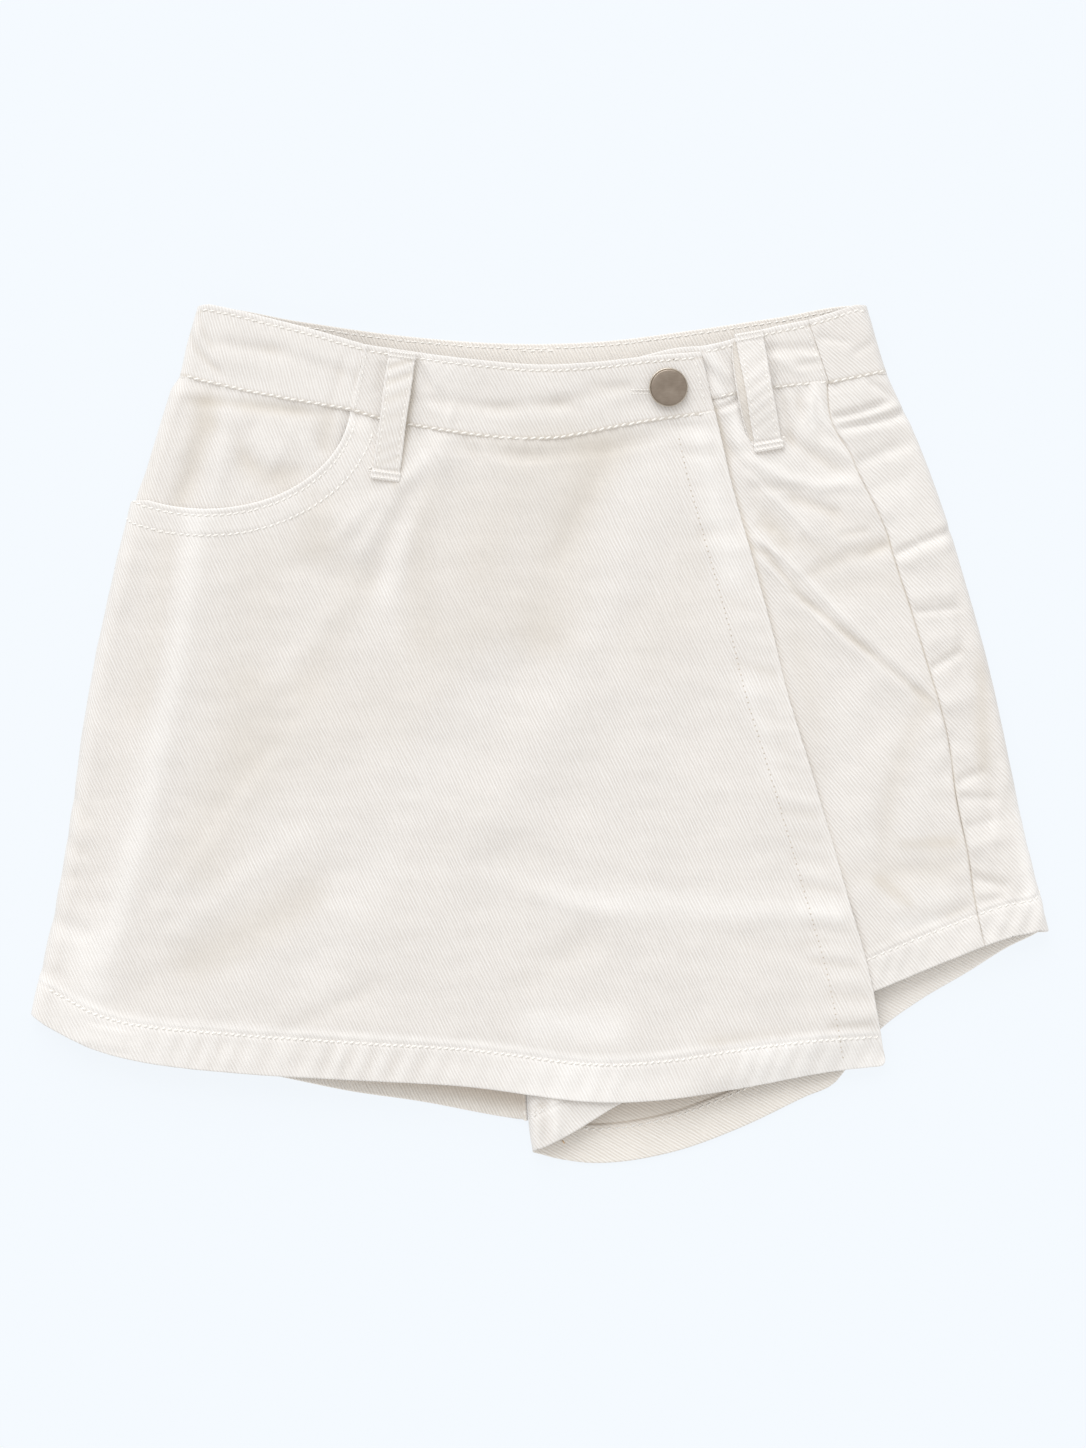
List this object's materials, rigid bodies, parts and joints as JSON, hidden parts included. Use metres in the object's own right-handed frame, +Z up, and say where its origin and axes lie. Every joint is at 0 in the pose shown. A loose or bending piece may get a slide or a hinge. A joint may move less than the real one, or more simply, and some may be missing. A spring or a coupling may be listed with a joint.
{
  "type": "child's wrap skort laid flat",
  "caption": "Child's twill wrap skort laid flat: shorts under a wrap-over skirt panel, waistband, belt loops, scooped pocket and a fastened metal button.",
  "frame": {"origin": "middle of the garment's outline, on the surface that it lies on", "axes": "+X towards the wearer's left, +Y from the hems towards the waist, +Z up from the surface, out of the garment's front"},
  "size_m": [0.4089, 0.3445, 0.0159],
  "materials": {
    "twill": "off-white cotton twill, matt, with a soft nap",
    "button_metal": "aged nickel plate, finely brushed"
  },
  "bodies": {
    "root": {"back_right": "twill", "back_left": "twill", "front_right": "twill", "front_left": "twill", "hip_piece": "twill", "wrap_panel": "twill", "band_back": "twill", "band_under": "twill", "band_wrap": "twill", "button": "button_metal", "loop_right": "twill", "loop_left": "twill"}
  },
  "joints": []
}
